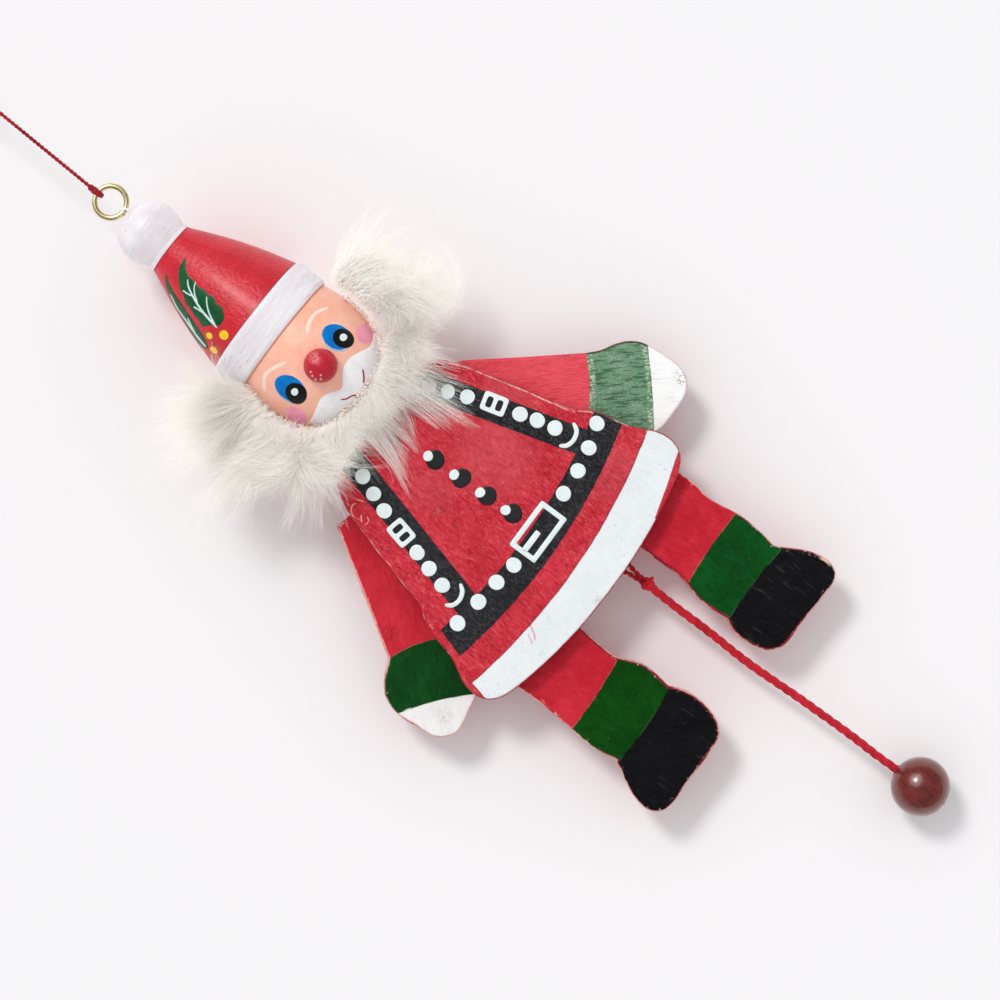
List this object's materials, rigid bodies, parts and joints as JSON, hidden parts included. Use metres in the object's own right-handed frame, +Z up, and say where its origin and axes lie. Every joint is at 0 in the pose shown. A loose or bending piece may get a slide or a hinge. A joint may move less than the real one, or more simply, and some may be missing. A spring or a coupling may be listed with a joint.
{
  "type": "pull string jumping jack",
  "caption": "Flat wooden winter figure with a turned head; pulling the bead on its cord raises the arms and legs.",
  "frame": {"origin": "centre of the brass screw eye's ring, which the hanging thread passes through", "axes": "+Z up along the line the figure hangs on, +X to the viewer's right, painted front faces -Y"},
  "size_m": [0.0899, 0.0315, 0.2591],
  "materials": {
    "red_coat": "satin red paint, brushed",
    "red_limb": "satin red paint with green and black parts",
    "head_paint": "satin paint: red hat, white brim, flesh face",
    "white_paint": "satin white paint",
    "nose_paint": "glossy red paint",
    "bead_paint": "glossy dark red varnish",
    "brass": "polished, a little dull",
    "nail_steel": "plain",
    "fur": "long off-white fur",
    "red_cord": "twisted red cotton",
    "red_thread": "twisted red thread"
  },
  "bodies": {
    "root": {"coat": "red_coat", "head": "head_paint", "hat_ball": "white_paint", "nose": "nose_paint", "screw_eye": "brass", "beard": "fur", "left_shoulder_nail": "nail_steel", "right_shoulder_nail": "nail_steel", "left_hip_nail": "nail_steel", "right_hip_nail": "nail_steel", "hang_knot": "red_thread", "hang_thread": "red_thread", "hang_loop": "red_thread"},
    "pull": {"arm_string": "red_cord", "leg_string": "red_cord", "arm_pull_string": "red_cord", "leg_pull_string": "red_cord", "pull_knot": "red_cord", "pull_cord": "red_cord", "pull_bead": "bead_paint", "bead_knot": "red_cord"},
    "left_arm": {"left_arm": "red_limb", "left_arm_knot": "red_cord"},
    "right_arm": {"right_arm": "red_limb", "right_arm_knot": "red_cord"},
    "left_leg": {"left_leg": "red_limb", "left_leg_knot": "red_cord"},
    "right_leg": {"right_leg": "red_limb", "right_leg_knot": "red_cord"}
  },
  "joints": [
    {"name": "pull_slide", "type": "slide", "parent": "root", "child": "pull", "axis": [0, 0, -1], "range_m": [0, 0.00835]},
    {"name": "left_arm_swing", "type": "hinge", "parent": "root", "child": "left_arm", "pos_m": [-0.022, 0.004, -0.0835], "axis": [0, 1, 0], "range_deg": [0, 80]},
    {"name": "right_arm_swing", "type": "hinge", "parent": "root", "child": "right_arm", "pos_m": [0.012, 0.004, -0.0835], "axis": [0, -1, 0], "range_deg": [0, 80]},
    {"name": "left_leg_swing", "type": "hinge", "parent": "root", "child": "left_leg", "pos_m": [-0.0264, 0.004, -0.118], "axis": [0, 1, 0], "range_deg": [0, 55]},
    {"name": "right_leg_swing", "type": "hinge", "parent": "root", "child": "right_leg", "pos_m": [0.0164, 0.004, -0.118], "axis": [0, -1, 0], "range_deg": [0, 55]}
  ],
  "couplings": [
    {"joint": "left_arm_swing", "follows": "pull_slide", "rad_per_m": 167.09},
    {"joint": "right_arm_swing", "follows": "pull_slide", "rad_per_m": 167.09},
    {"joint": "left_leg_swing", "follows": "pull_slide", "rad_per_m": 114.88},
    {"joint": "right_leg_swing", "follows": "pull_slide", "rad_per_m": 114.88}
  ]
}
